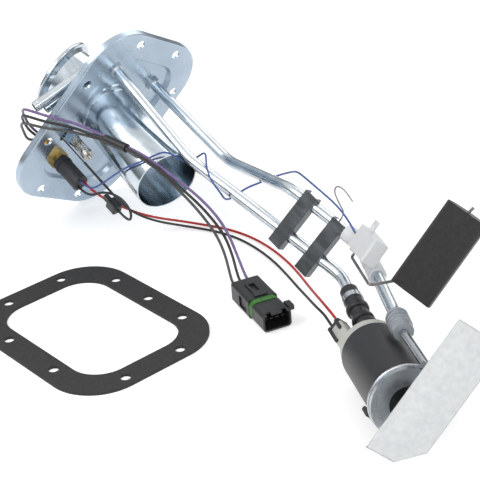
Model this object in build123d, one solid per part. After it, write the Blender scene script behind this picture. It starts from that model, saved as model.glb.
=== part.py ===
from build123d import *
import math
import os

# Module frame, in mm: origin on the tank-side face of the flange, at the centre of
# its hole pattern; x to the three-hole side, y along the long side, z out of the tank.
# Everything is modelled there and then laid down as the photo shows it.
lay_tilt = 24.92
lay_roll = 32.18
lay_shift = (-212.14, 58.8, 87.97)

# Flange
sheet = 2.0
flange_x = 69.0
flange_y = 90.5
flange_corner = 41.6
rim_height = 6.5
rim_round = 1.6
pad_x = 46.0
pad_y = 67.0
pad_corner = 24.0
pad_depth = 3.5
pad_slope = 30.0
bolt_hole_r = 4.3
end_hole_x = 26.0
end_hole_y = 80.5
side_hole_x = 57.0
three_hole_pitch = 44.4
two_hole_pitch = 62.0
braze_gap = 0.1
slip = 0.05

# Filler tube
filler_r = 28.575
filler_wall = 1.2
filler_in_end = (-23.0, -11.0, -99.0)
filler_elbow = (-4.0, -11.0, 3.0)
filler_out_end = (-19.5, -7.5, 50.0)
filler_bend_r = 60.0
lip_r = 32.2
lip_roll_r = 2.2
collar_r = 31.4
collar_step_r = 30.2
collar_height = 4.2
collar_step_height = 4.6

# Fuel tubes
tube_r = 4.76
tube_wall = 0.7
stub_level = 17.5
stub_pitch = 10.2
stub_length = 76.0
return_stub_length = 68.0
bead_r = 0.6
tube_bend_r = 12.0
supply_x = -32.5
supply_plate_x = -34.3
supply_plate_y = -51.3
supply_path = [(-32.5, -42.5, -110.0), (-32.5, -66.0, -282.0)]
return_plate = (24.8, -46.8)
return_path = [(24.8, -46.8, -108.0), (-32.5, -87.0, -203.0), (-32.5, -95.5, -279.5)]
return_dir = (-0.636, -0.008, -0.771)
return_run = 124.0
ferrule_r = 7.0
ferrule_height = 5.0

# Electrical pass-through
bushing_at = (-30.0, 47.0)
bushing_r = 5.5
bushing_hex_r = 9.0
bushing_hex_height = 7.0
bushing_out = 16.0
bushing_bore_r = 3.9
potting_r = 3.8
potting_out = 1.5
nut_r = 8.5
nut_height = 4.0
boot_r = 7.6
boot_length = 30.0
boot_band_r = 8.2
lead_ports = [(3.4, -2.0), (-3.2, -2.6), (0.4, 3.8)]
lead_port_r = 1.4

# Vent valve
vent_at = (-38.0, 20.0)
vent_r = 4.0
vent_bore_r = 1.6
vent_hex_r = 5.8
vent_hex_height = 3.0
dome_r = 5.8
dome_height = 8.0
cage_r = 4.9
cage_wall = 0.8
cage_length = 22.0
cage_slots = 3
spring_wire_r = 0.4
spring_r = 2.8
spring_pitch = 2.18
spring_turns = 8
plunger_r = 1.4
plunger_head_r = 3.6
plunger_head = 2.0
vent_stroke = 2.5
strip_width = 5.0
strip_sheet = 1.0
strip_turn = 110.0
strip_gap = 0.4
strip_side = vent_hex_r + strip_gap + strip_sheet / 2
strip_length = cage_length + dome_height + vent_hex_height + 2.0

# Tube brackets
channel_web = 13.0
channel_flange = 7.5
channel_sheet = 1.5
channel_length = 51.0
channel_top_y = -97.0
upper_channel_z = -222.0
lower_channel_z = -254.5

# Pump
pump_top = (-85.8, -60.4, -361.0)
pump_lean = 42.5
pump_yaw = 8.6
case_r = 21.3
case_wall = 1.2
sleeve_r = 24.0
pump_length = 82.0
cap_height = 9.0
nipple_at = (9.0, 4.0)
nipple_r = 4.6
nipple_length = 24.0
tower_at = (-5.0, 16.6)
tower_size = (13.0, 11.0)
tower_height = 33.0
tower_wall = 1.5
socket_depth = 12.0
plug_insert = 9.0
plug_height = 6.0
plug_leg_width = 2.4
plug_leg_sheet = 1.6
plug_long_leg = 20.0
plug_short_leg = 11.0
cradle_rim_r = 25.6
cradle_sheet = 1.6
inlet_r = 5.5
inlet_length = 10.0
shaft_r = 1.8
shaft_from = 4.6
running_gap = 0.05
end_cover = 14.2
end_cover_from = pump_length - end_cover
impeller_r = 14.0
impeller_thick = 4.0
impeller_vanes = 20
impeller_from = end_cover_from - 0.8 - impeller_thick
bearing_plate = 5.0
bearing_plate_from = impeller_from - 6.0
magnet_r = 15.6
magnet_from = 14.0
magnet_to = bearing_plate_from - 3.0
rotor_r = 14.6
rotor_from = magnet_from + 3.0
rotor_to = magnet_to - 3.0
rotor_slots = 10
commutator_r = 8.5

# Hose
hose_turn_back = 30.0
hose_top_from_bend = 20.0
hose_r = 7.0
bulge_r = 8.8
bulge_width = 5.6
clamp_width = 5.0
clamp_sheet = 1.0

# Strainer
strainer_drop = 25.0
strainer_short = 33.0
strainer_long = 70.0
strainer_width = 39.0
strainer_thick = 7.0
strainer_neck_r = 8.0

# Level sender and float
pivot = (-54.0, -92.3, -287.5)
sender_w = (3.0, 22.0)
sender_u = (-6.0, 32.0)
sender_half = 6.5
sender_wall = 1.5
hub_r = 3.8
sender_clip_r = 7.0
sender_gap = 0.3
card_from = sender_w[1] - sender_wall - 1.0
hub_end = card_from - sender_gap
arm_r = 1.1
arm_bend_r = 2.4
arm_drop = (84.0, 14.0)
float_corner = (-103.0, -113.0, -342.0)
float_chord = 33.0
float_depth = 22.0
float_length = 69.0
float_turn = 52.0

# Gasket
gasket_opening = (47.0, 69.0)
gasket_opening_r = 26.0
gasket_thick = 2.5
gasket_at = (-60.5, -80.3)
gasket_turn = -89.7

# Wires, as the module lies on the floor; the first and last points of most of them
# come from the pieces that they leave and enter
harness_r = 1.2
lead_r = 1.1
sender_lead_r = 0.8
tie_wire_r = 0.6
harness_ports = {"purple": (0.9, -2.3), "black": (-0.9, 0.0), "grey": (0.9, 2.3)}
harness_routes = {
    "purple": [
        (-250, 0.3, 94), (-242, -8, 109), (-229, -16, 120.3), (-215.5, -19.2, 125),
        (-206.5, -13, 121.5), (-199, -5.4, 117.5), (-192, 2.6, 114), (-181, 10, 110),
        (-168, 15.7, 105.5), (-157.5, 20.3, 101.9),
        (-131, 23.8, 98.8),
        (-117, 25.7, 96.6), (-106, 29, 91.5), (-96, 34.5, 83), (-85, 41, 73.5), (-72.5, 48.5, 61),
        (-60.5, 54.5, 46.5), (-49, 56, 33), (-37, 53, 20.5), (-24, 48, 12)],
    "black": [
        (-247.7, -2.2, 91), (-240, -10.5, 104.5), (-228, -18.3, 115.6), (-213.5, -22, 120.7),
        (-204, -16, 117.6), (-196.5, -8.2, 113.8), (-190, 1, 110.2), (-180, 8.5, 106.6),
        (-169, 13, 103.4), (-158.5, 17.2, 101.7),
        (-131, 21, 98.8),
        (-115.3, 21.4, 97.6), (-104, 25.2, 92.3), (-96, 32, 82), (-85.5, 38, 71.5), (-73, 45, 58.5),
        (-61, 50.5, 44.5), (-49.5, 52.5, 32), (-37.5, 49, 20.5), (-25.5, 42.5, 12)],
    "grey": [
        (-246, -6, 83), (-237.5, -13.5, 97), (-225, -22, 110), (-211, -25.5, 116),
        (-201.5, -19.6, 113.4), (-194.5, -11, 110), (-188.5, -1, 106.8), (-179.5, 8, 103.2),
        (-169, 14.6, 100.4), (-158, 18.6, 99.3),
        (-131, 22.4, 96.5),
        (-116, 23.5, 94.6), (-105.5, 27, 89.3), (-97.5, 32.5, 79.5), (-88, 37, 69.5),
        (-75.5, 42.5, 56.5), (-63, 46.5, 42.5), (-51.5, 47, 31.5), (-39.5, 43.5, 20.5), (-27, 36.5, 12)],
}
harness_exit = 9.0
sleeve_ends = ((-158.0, 18.7, 100.9), (-133.0, 22.2, 98.2))
sleeve_outer_r = 3.9
red_route = [
    (-178, 16, 43), (-174, 25, 34), (-170, 35, 26), (-164, 47, 17), (-155, 61, 10),
    (-144, 76, 5), (-127, 90, 1.4), (-105, 99, 1.2), (-79, 103, 1.2), (-50, 101, 1.2), (-20, 94, 1.2),
    (8, 82, 4), (34, 67, 11), (60, 52, 19), (84, 38.5, 26)]
black_route = [
    (-167.5, 13.5, 61.5), (-164.5, 19, 51.5), (-164, 26, 40), (-162, 34, 28),
    (-158, 44, 18), (-151, 57, 9.5), (-141, 71, 4), (-127, 82, 1.4), (-107, 90, 1.2), (-83, 94, 1.2),
    (-55, 92, 1.2), (-27, 86, 1.2), (0, 76, 2.5), (25, 64, 7), (49, 52, 13), (72, 40, 19), (90, 32, 23)]
blue_route = [
    (-172.5, 8.5, 53), (-160.5, 13, 61.5), (-147, 16, 72), (-132.5, 17.5, 82), (-120.5, 22.5, 88.3),
    (-111, 31.5, 94), (-106, 41, 97), (-99.6, 47.5, 92), (-96, 54, 84.5), (-93.5, 64, 86.5),
    (-85, 67, 93.5), (-73.5, 59, 93.5), (-62, 49.5, 92), (-48.5, 43, 87), (-40.5, 45, 78), (-43, 51, 68.5),
    (-46, 60, 65.5), (-49, 70, 65.5), (-49, 81, 67), (-45.5, 90.5, 68.5), (-38, 97, 73), (-24, 98, 80.5),
    (-7, 93, 89.5), (8, 86, 97), (24, 80, 98.5),
    (40, 79, 94), (58, 79, 87.5), (73, 76.5, 81)]
filter_route = [
    (-176, 8, 45.5), (-164, 12, 51.5), (-150, 14.5, 53), (-136, 14.5, 51.5), (-125.5, 14.2, 43.5),
    (-130.5, 14, 31.7)]
filter_at = (-151.5, 14.0, 41.5)
filter_size = (12.0, 9.0, 9.0)
filter_turn = 25.0
tie_route = [(57, 83.5, 86), (52, 83.5, 95), (56, 83.5, 101), (66, 82.5, 100.5), (76, 80, 95)]

# Harness connector, lying on the floor
connector_at = (-5.0, 34.0)
connector_turn = -16.3
connector_width = 25.0
connector_height = 17.0
connector_body_length = 34.0
seal_length = 5.5
shroud_length = 20.5
wire_pitch = 6.5

nodes = {}
loose = {}


def add(name, shape):
    nodes[name] = shape


def unit(v):
    v = Vector(*v)
    return v / v.length


lean = math.radians(pump_lean)
yaw = math.radians(pump_yaw)
pump_dir = Vector(-math.sin(lean) * math.cos(yaw), -math.sin(yaw), -math.cos(lean) * math.cos(yaw))
strip_dir = unit(Vector(0, -1, 0) - pump_dir * Vector(0, -1, 0).dot(pump_dir))
pump_frame = Plane(origin=pump_top, x_dir=strip_dir, z_dir=pump_dir)
pivot_frame = Plane(origin=pivot, x_dir=strip_dir, z_dir=pump_dir)
v_dir = pump_dir.cross(strip_dir)


def in_pump(a, b, c):
    return pump_frame.from_local_coords(Vector(a, b, c))


def in_pivot(a, b, c):
    return pivot_frame.from_local_coords(Vector(a, b, c))


def cylinder(r, height, z=0.0):
    return Pos(0, 0, z) * Cylinder(r, height, align=(Align.CENTER, Align.CENTER, Align.MIN))


def ring(outer, inner, height, z=0.0):
    return cylinder(outer, height, z) - cylinder(inner, height, z)


def block(x, y, z, at=(0, 0, 0)):
    return Pos(*at) * Box(x, y, z)


def rod(points, r, radii=None):
    """A round bar along a bent line."""
    path = Polyline(*points) if radii is None else FilletPolyline(*points, radius=radii)
    start = Plane(origin=path @ 0, z_dir=path % 0)
    return sweep(start * Circle(r), path=path)


def pipe(points, r, wall, radii):
    path = FilletPolyline(*points, radius=radii)
    start = Plane(origin=path @ 0, z_dir=path % 0)
    return sweep(start * (Circle(r) - Circle(r - wall)), path=path)


def frame_at(origin, direction, x_dir=None):
    if x_dir is None:
        return Plane(origin=tuple(origin), z_dir=tuple(direction))
    return Plane(origin=tuple(origin), x_dir=tuple(x_dir), z_dir=tuple(direction))


bolt_holes = [
    (-end_hole_x, -end_hole_y), (end_hole_x, -end_hole_y),
    (side_hole_x, -three_hole_pitch), (side_hole_x, 0), (side_hole_x, three_hole_pitch),
    (end_hole_x, end_hole_y), (-end_hole_x, end_hole_y),
    (-side_hole_x, two_hole_pitch / 2), (-side_hole_x, -two_hole_pitch / 2),
]

# Path of each fuel tube, from its outer stub to its end in the tank
stub_dir = unit((-0.566, 0.824, 0))
supply_slope = (supply_path[0][1] - supply_plate_y) / (pad_depth - supply_path[0][2])
supply_corner = (supply_plate_x, supply_plate_y - supply_slope * (stub_level - pad_depth), stub_level)
supply_stub = Vector(*supply_corner) + stub_dir * stub_length
hose_corner = in_pump(nipple_at[0], nipple_at[1], -cap_height - hose_turn_back)
hose_dir = unit(hose_corner - Vector(*supply_path[1]))
supply_end = Vector(*supply_path[1]) + hose_dir * (hose_top_from_bend + 20.0)
supply_points = [tuple(supply_stub), supply_corner, *supply_path, tuple(supply_end)]
supply_radii = [tube_bend_r, 60.0, 30.0]

side_step = Vector(-stub_dir.Y, stub_dir.X, 0) * -stub_pitch
return_line = Vector(*supply_corner) + side_step
turn_point = return_line - stub_dir * 4.0
return_stub = return_line + stub_dir * return_stub_length
return_end = Vector(*return_path[-1]) + unit(return_dir) * return_run
return_points = [
    tuple(return_stub), tuple(turn_point), (return_plate[0], return_plate[1], stub_level),
    *return_path, tuple(return_end),
]
return_radii = [tube_bend_r, tube_bend_r, 40.0, 40.0, 30.0]

filler_points = [filler_in_end, filler_elbow, filler_out_end]


def filler_cutter(gap=braze_gap):
    return rod(filler_points, filler_r + gap, filler_bend_r)


def through_plate(x, y, r):
    return Pos(x, y, 0) * cylinder(r, 24, -10)


def make_flange():
    outline = RectangleRounded(2 * flange_x, 2 * flange_y, flange_corner)
    inner = RectangleRounded(2 * (flange_x - sheet), 2 * (flange_y - sheet), flange_corner - sheet)
    shell = extrude(outline, rim_height)
    shell = fillet(shell.faces().sort_by(Axis.Z)[0].edges(), rim_round)
    shell -= Pos(0, 0, sheet) * extrude(inner, rim_height)
    grow = sheet * 1.2
    pad = RectangleRounded(2 * pad_x, 2 * pad_y, pad_corner)
    pad_out = RectangleRounded(2 * (pad_x + grow), 2 * (pad_y + grow), pad_corner + grow)
    shell += extrude(pad_out, pad_depth + sheet, taper=pad_slope)
    shell -= extrude(pad, pad_depth, taper=pad_slope)
    for x, y in bolt_holes:
        shell -= Pos(x, y, -1) * cylinder(bolt_hole_r, 12)
    shell -= filler_cutter()
    shell -= through_plate(supply_plate_x, supply_plate_y, tube_r + 0.6)
    shell -= through_plate(*return_plate, tube_r + 0.6)
    shell -= through_plate(*bushing_at, bushing_r + braze_gap)
    shell -= through_plate(*vent_at, vent_r + braze_gap)
    add("flange_plate", shell)


def make_filler():
    tube = pipe(filler_points, filler_r, filler_wall, filler_bend_r)
    out_dir = unit(Vector(*filler_out_end) - Vector(*filler_elbow))
    flare = Plane.XZ * Polygon(
        (filler_r - filler_wall, 0), (filler_r, 0), (lip_r, 5.0), (lip_r - 1.0, 6.2),
        (filler_r - filler_wall, 1.4), align=None)
    flare = revolve(flare, Axis.Z)
    roll = Pos(0, 0, 5.0) * Torus(lip_r, lip_roll_r)
    lip_frame = frame_at(filler_out_end, out_dir)
    tube += lip_frame * (flare + roll)
    add("filler_tube", tube)

    in_dir = unit(Vector(*filler_in_end) - Vector(*filler_elbow))
    base = frame_at(filler_elbow, in_dir)
    low = base * cylinder(collar_r, collar_height + 12, -12)
    step = base * cylinder(collar_step_r, collar_height + collar_step_height + 12, -12)
    collar = low + step
    collar -= Pos(0, 0, pad_depth) * cylinder(60, 60)
    collar -= filler_cutter()
    add("neck_collar", collar)


def make_tubes():
    supply = pipe(supply_points, tube_r, tube_wall, supply_radii)
    back = pipe(return_points, tube_r, tube_wall, return_radii)
    for end, tube, name in ((supply_stub, supply, "supply_tube"), (return_stub, back, "return_tube")):
        bead = Torus(tube_r - 0.2, bead_r) - cylinder(tube_r - tube_wall / 2, 8, -4)
        tube += frame_at(end - stub_dir * 4.0, stub_dir) * bead
        add(name, tube)
    for name, points, radii, at in (
            ("supply_ferrule", supply_points, supply_radii, (supply_plate_x, supply_plate_y)),
            ("return_ferrule", return_points, return_radii, return_plate)):
        cone = Pos(at[0], at[1], pad_depth - ferrule_height) * Cone(
            tube_r + 1.0, ferrule_r, ferrule_height, align=(Align.CENTER, Align.CENTER, Align.MIN))
        cone -= rod(points, tube_r + braze_gap, radii)
        add(name, cone)


def make_channels():
    face_x = supply_x - tube_r
    for name, z in (("upper_channel", upper_channel_z), ("lower_channel", lower_channel_z)):
        y = channel_top_y + channel_length / 2
        web = block(channel_sheet, channel_length, channel_web, (face_x - channel_sheet / 2, y, z))
        channel = web
        for side in (-1, 1):
            channel += block(
                channel_flange, channel_length, channel_sheet,
                (face_x + channel_flange / 2 - channel_sheet, y,
                 z + side * (channel_web - channel_sheet) / 2))
        channel -= rod(supply_points, tube_r + slip, supply_radii)
        channel -= rod(return_points, tube_r + slip, return_radii)
        add(name, channel)


def make_vent():
    """Spring-loaded vent valve, hanging from the plate into the tank."""
    x, y = vent_at
    hex_bottom = pad_depth - vent_hex_height
    base = extrude(RegularPolygon(vent_hex_r, 6), vent_hex_height)
    base += cylinder(vent_r, vent_hex_height + sheet + 6)
    base -= cylinder(vent_bore_r, 40, -10)
    add("vent_base", Pos(x, y, hex_bottom) * base)

    dome_bottom = hex_bottom - dome_height
    dome = cylinder(dome_r, dome_height)
    dome = fillet(dome.edges().sort_by(Axis.Z)[-1], dome_r * 0.55)
    dome -= cylinder(vent_bore_r, 40, -10)
    add("vent_cap", Pos(x, y, dome_bottom) * dome)

    cage = ring(cage_r, cage_r - cage_wall, cage_length)
    cage += ring(cage_r, plunger_r + running_gap, 1.5)
    slot_height = cage_length * 0.55
    for k in range(cage_slots):
        cage -= Rot(0, 0, 180 / cage_slots * k) * block(12, 4.4, slot_height, (0, 0, cage_length * 0.48))
    cage_bottom = dome_bottom - cage_length
    add("vent_cage", Pos(x, y, cage_bottom) * cage)

    spring_bottom = cage_bottom + 1.5 + spring_wire_r + 0.1
    spring_height = spring_pitch * spring_turns
    coil = Helix(pitch=spring_pitch, height=spring_height, radius=spring_r)
    wire = Plane(origin=coil @ 0, z_dir=coil % 0) * Circle(spring_wire_r)
    add("vent_spring", Pos(x, y, spring_bottom) * sweep(wire, path=coil))

    head_bottom = spring_bottom + spring_height + spring_wire_r + 0.1
    tail = 4.0
    plunger = cylinder(plunger_r, head_bottom - cage_bottom + tail + plunger_head)
    plunger += cylinder(plunger_head_r, plunger_head, head_bottom - cage_bottom + tail)
    add("vent_plunger", Pos(x, y, cage_bottom - tail) * plunger)

    strip = block(strip_sheet, strip_width, strip_length, (strip_side, 0, -strip_length / 2))
    strip += block(3.0, strip_width, strip_sheet, (strip_side + 1.5 - strip_sheet / 2, 0, -strip_sheet / 2))
    add("vent_strip", Pos(x, y, pad_depth) * Rot(0, 0, strip_turn) * strip)


def make_bushing():
    """Brass pass-through with its nut, sealing boot and potted wires."""
    x, y = bushing_at
    hex_bottom = pad_depth - bushing_hex_height
    body = extrude(RegularPolygon(bushing_hex_r, 6), bushing_hex_height)
    body += cylinder(bushing_r, bushing_hex_height + sheet + bushing_out)
    body += cylinder(boot_r - 1.0, 4.0 + 1.0, -4.0)
    body -= cylinder(bushing_bore_r, 60, -20)
    add("pass_bushing", Pos(x, y, hex_bottom) * body)
    nut = extrude(RegularPolygon(nut_r, 6), nut_height) - cylinder(bushing_r + 0.1, 10, -2)
    add("pass_nut", Pos(x, y, pad_depth + sheet) * nut)

    boot = cylinder(boot_r, boot_length)
    boot += ring(boot_band_r, boot_r - 0.5, 2.5, boot_length - 6.0)
    boot -= cylinder(boot_r - 1.0 + slip, 4.2, boot_length - 4.0)
    boot -= cylinder(bushing_bore_r, boot_length + 10, 3.0)
    for a, b in lead_ports:
        boot -= Pos(a, b, -1) * cylinder(lead_port_r, 6)
    add("pass_boot", Pos(x, y, hex_bottom - boot_length) * boot)

    core_bottom = hex_bottom - boot_length + 3.0
    core_top = pad_depth + sheet + bushing_out + potting_out
    add("pass_core", Pos(x, y, core_bottom) * cylinder(potting_r, core_top - core_bottom))


def make_pump():
    can = ring(case_r, case_r - case_wall, pump_length - 1.0)
    add("pump_case", pump_frame * can)
    sleeve = ring(sleeve_r, case_r + slip, pump_length - 4.0, 1.0)
    sleeve += block(3.0, 9.0, 11.0, (-sleeve_r - 0.6, 6.0, 60.0))
    sleeve -= cylinder(case_r + slip, 200, -20)
    add("pump_sleeve", pump_frame * sleeve)

    cap = cylinder(case_r + 1.2, cap_height, -cap_height)
    cap += cylinder(case_r - case_wall - slip, 8.0)
    nipple = cylinder(nipple_r, nipple_length, -nipple_length - cap_height)
    cap += Pos(*nipple_at, 0) * nipple
    tx, ty = tower_size
    tower = extrude(RectangleRounded(tx, ty, 2.5), -tower_height)
    inner = RectangleRounded(tx - 2 * tower_wall, ty - 2 * tower_wall, 1.5)
    cap += Pos(*tower_at, 0) * tower
    cap -= Pos(*tower_at, -tower_height) * extrude(inner, socket_depth)
    cap -= Pos(*nipple_at, 0) * cylinder(2.6, 80, -60)
    cap -= cylinder(shaft_r + running_gap, 5, 4.0)
    cap -= cylinder(case_r - case_wall - 3.0, 3.0, 5.0)
    add("pump_cap", pump_frame * cap)

    pin_bottom = socket_depth - tower_height
    pins = block(0.8, 2.2, 8.0, (-3, 0, -4.0)) + block(0.8, 2.2, 8.0, (3, 0, -4.0))
    add("pump_terminals", pump_frame * Pos(*tower_at, pin_bottom) * pins)

    inside_r = case_r - case_wall - slip
    magnet_middle = (magnet_from + magnet_to) / 2
    magnets = ring(inside_r, magnet_r, magnet_to - magnet_from, magnet_from)
    magnets -= block(3 * magnet_r, 9, 2 * magnet_r + 30, (0, 0, magnet_middle))
    add("pump_magnets", pump_frame * magnets)

    rotor = cylinder(rotor_r, rotor_to - rotor_from, rotor_from)
    rotor += cylinder(commutator_r, 6, rotor_from - 6.4)
    rotor += cylinder(shaft_r, end_cover_from + 6.8 - shaft_from, shaft_from)
    for k in range(rotor_slots):
        rotor -= Rot(0, 0, 360 / rotor_slots * k) * block(4.2, 1.6, 50, (rotor_r - 1.0, 0, magnet_middle))
    rotor += cylinder(impeller_r, impeller_thick, impeller_from)
    for k in range(impeller_vanes):
        vane_gap = block(3.0, 1.4, 10, (impeller_r - 0.4, 0, impeller_from + impeller_thick / 2))
        rotor -= Rot(0, 0, 360 / impeller_vanes * k) * vane_gap
    add("pump_rotor", pump_frame * rotor)

    middle = cylinder(inside_r, bearing_plate, bearing_plate_from)
    middle -= cylinder(shaft_r + running_gap, 20, bearing_plate_from - 7.0)
    add("pump_bearing_plate", pump_frame * middle)
    end = cylinder(inside_r, end_cover - 0.2, end_cover_from)
    end -= cylinder(shaft_r + running_gap, 8.0, end_cover_from - 0.8)
    end += cylinder(inlet_r, inlet_length, pump_length - 1.0)
    end -= Pos(8.0, 0, 0) * cylinder(2.2, 40, end_cover_from - 7.8)
    end -= cylinder(3.2, 14.0, pump_length - 3.0)
    end -= block(9.0, 4.0, 3.0, (5.0, 0, pump_length - 1.5))
    add("pump_inlet_cover", pump_frame * end)


def make_plug():
    """Two-way plug in the pump's tower, with its locking legs and blue lock."""
    tx, ty = tower_size
    gap = 0.1
    fit = 2 * (tower_wall + gap)
    insert = extrude(RectangleRounded(tx - fit, ty - fit, 1.6), plug_insert)
    top = block(tx - 1.0, ty - 1.0, plug_height, (0, 0, -plug_height / 2))
    top = fillet(top.edges().filter_by(Axis.Z), 1.2)
    body = top + insert
    for x in (-3, 3):
        body -= block(1.0, 2.4, plug_insert + 1.0, (x, 0, plug_insert / 2 + 1.0))
    face = ty / 2 + gap + plug_leg_sheet / 2
    for x, length in ((-4.0, plug_long_leg), (4.0, plug_short_leg)):
        body += block(plug_leg_width, plug_leg_sheet, length + 3.0, (x, face, length / 2 - 1.5))
        body += block(plug_leg_width, 3.0, 2.8, (x, face - 1.4, -1.6))
    place = pump_frame * Pos(*tower_at, -tower_height)
    add("pump_plug", place * body)
    lock = block(6.0, 3.2, 5.0, (1.0, -2.8, -plug_height - 2.5))
    lock += block(3.0, 3.2, 2.0, (1.0, -2.8, -plug_height - 6.0))
    add("plug_lock", place * lock)


def make_cradle():
    base = ring(cradle_rim_r, 13.0, cradle_sheet, pump_length)
    wall = ring(cradle_rim_r, sleeve_r + 0.15, 4.5, pump_length - 4.5)
    lip = Pos(0, 0, pump_length - 4.5) * Torus(cradle_rim_r, 0.9)
    lip -= cylinder(sleeve_r + 0.15, 20, pump_length - 10)
    cup = base + wall + lip
    cup -= block(9, 5, 10, (17.5, -6.0, pump_length))
    add("pump_cradle", pump_frame * cup)


def make_hose():
    top = Vector(*supply_path[1]) + hose_dir * hose_top_from_bend
    end = in_pump(nipple_at[0], nipple_at[1], -cap_height)
    path = FilletPolyline(tuple(top), tuple(hose_corner), tuple(end), radius=40.0)
    start = Plane(origin=path @ 0, z_dir=path % 0)
    hose = sweep(start * Circle(hose_r), path=path)
    for s in (0.36, 0.6, 0.78):
        place = Plane(origin=path @ s, z_dir=path % s)
        bulge = cylinder(bulge_r, bulge_width, -bulge_width / 2)
        hose += place * fillet(bulge.edges().filter_by(GeomType.CIRCLE), bulge_width * 0.3)
    hose -= sweep(start * Circle(tube_r + slip), path=path)
    add("pump_hose", hose)
    clamps = None
    for s in (0.17, 0.93):
        place = Plane(origin=path @ s, x_dir=tuple(v_dir), z_dir=path % s)
        band = ring(hose_r + clamp_sheet + slip, hose_r + slip, clamp_width, -clamp_width / 2)
        ear = block(5.0, 3.0, clamp_width, (-hose_r - 3.0, 0, 0))
        ear -= cylinder(hose_r + slip, 40, -20)
        band = place * (band + ear)
        clamps = band if clamps is None else clamps + band
    add("hose_clamps", clamps)


def make_coupling():
    d = unit(return_dir)
    frame = frame_at(return_end, d, x_dir=v_dir - d * v_dir.dot(d))
    body = cylinder(tube_r + 2.6, 22, -18)
    for k in range(4):
        body += Pos(0, 0, -16 + 4.2 * k) * Torus(tube_r + 2.6, 0.9)
    body -= cylinder(tube_r + slip, 18.0, -18)
    add("return_coupling", frame * body)


def make_strap():
    d = unit(return_dir)
    start = return_end + d * 4.0
    foot = in_pump(cradle_rim_r + 2.0, 4.0, pump_length + cradle_sheet / 2)
    strap = rod([tuple(start), tuple(foot)], 3.2)
    tab = block(8.0, 10.0, cradle_sheet, (cradle_rim_r + 1.0, 4.0, pump_length + cradle_sheet / 2))
    strap = strap + pump_frame * tab - frame_at(return_end, d) * cylinder(tube_r + 3.7, 30.0, -26.0)
    strap -= pump_frame * cylinder(cradle_rim_r + 0.9, pump_length + 20, 0)
    add("pump_strap", strap)


def make_strainer():
    z = pump_length + strainer_drop
    length = strainer_short + strainer_long
    body = Box(length, strainer_width, strainer_thick)
    body = fillet(body.edges().filter_by(Axis.X), strainer_thick * 0.42)
    body = Pos((strainer_long - strainer_short) / 2, 0, z) * body
    pocket = cylinder(strainer_neck_r, 2.0, z - strainer_thick / 2)
    add("strainer_sock", pump_frame * (body - pocket))
    neck = ring(strainer_neck_r, inlet_r + slip, 14.0, z - strainer_thick / 2 - 12.0)
    neck += ring(strainer_neck_r + 3.0, inlet_r + slip, 1.5, z - strainer_thick / 2 - 6.0)
    neck += cylinder(strainer_neck_r, 2.0, z - strainer_thick / 2)
    neck -= cylinder(3.2, 20, z - 10)
    add("strainer_neck", pump_frame * neck)


def make_sender():
    """Translucent housing clipped on the return tube, with its card and the arm's hub."""
    w0, w1 = sender_w
    u0, u1 = sender_u
    across, middle = w1 - w0, (w0 + w1) / 2
    deep, centre = u1 - u0, (u0 + u1) / 2
    shell = block(across, 2 * sender_half, deep, (middle, 0, centre))
    shell = fillet(shell.edges().filter_by(Axis.X), 2.0)
    hollow = (across - 2 * sender_wall, 2 * (sender_half - sender_wall), deep - 2 * sender_wall)
    shell -= block(*hollow, (middle, 0, centre))
    shell -= Rot(0, 90, 0) * cylinder(hub_r + 0.1, sender_wall + 2.0, w0 - 1.0)
    tab = block(9.0, 2.5, 6.0, (w1 + 4.0, 0, u0 + 8.0))
    tab -= Pos(w1 + 5.5, 5, u0 + 8.0) * Rot(90, 0, 0) * cylinder(0.9, 10)
    shell = pivot_frame * (shell + tab)

    bend = Vector(*return_path[-1])
    before = unit(bend - Vector(*return_path[-2]))
    after = unit(return_dir)
    neck = frame_at(bend - before * 17.0, before) * cylinder(sender_clip_r, 15.0)
    elbow = frame_at(bend - before * 5.0, before) * cylinder(sender_clip_r, 8.0)
    lower = frame_at(bend + after * 1.0, after) * cylinder(sender_clip_r, 48.0)
    lower -= frame_at(bend + after * 12.0, after) * ring(20.0, sender_clip_r - 1.4, 8.0)
    lower -= frame_at(bend + after * 30.0, after) * ring(20.0, sender_clip_r - 1.4, 8.0)
    clips = neck + elbow + lower
    clips -= pivot_frame * block(*hollow, (middle, 0, centre))
    clips -= pivot_frame * Rot(0, 90, 0) * cylinder(hub_r + 1.6, w0 + 20.0, -20.0)
    body = shell + clips
    body -= pivot_frame * Rot(0, 90, 0) * cylinder(hub_r + 0.1, sender_wall + 4.0, w0 - 3.0)
    body -= rod(return_points, tube_r + slip, return_radii)
    add("sender_housing", body)

    card_size = (1.0, 2 * (sender_half - sender_wall) - 0.4, deep - 2 * sender_wall - 4.0)
    card = block(*card_size, (card_from + 0.5, 0, centre))
    card += block(2.2, 4.0, 4.0, (card_from - 1.0, 0, u1 - sender_wall - 5.0))
    add("sender_card", pivot_frame * card)
    hub = cylinder(hub_r, hub_end - w0 + 2.0, w0 - 2.0) + cylinder(hub_r + 1.2, 1.6, w0 - 2.0)
    hub += block(2.4, 1.4, 1.2, (0.2 - hub_r, 0, hub_end - 0.6))
    hub -= cylinder(arm_r + slip, 60, -20)
    add("sender_hub", pivot_frame * Rot(0, 90, 0) * hub)


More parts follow.
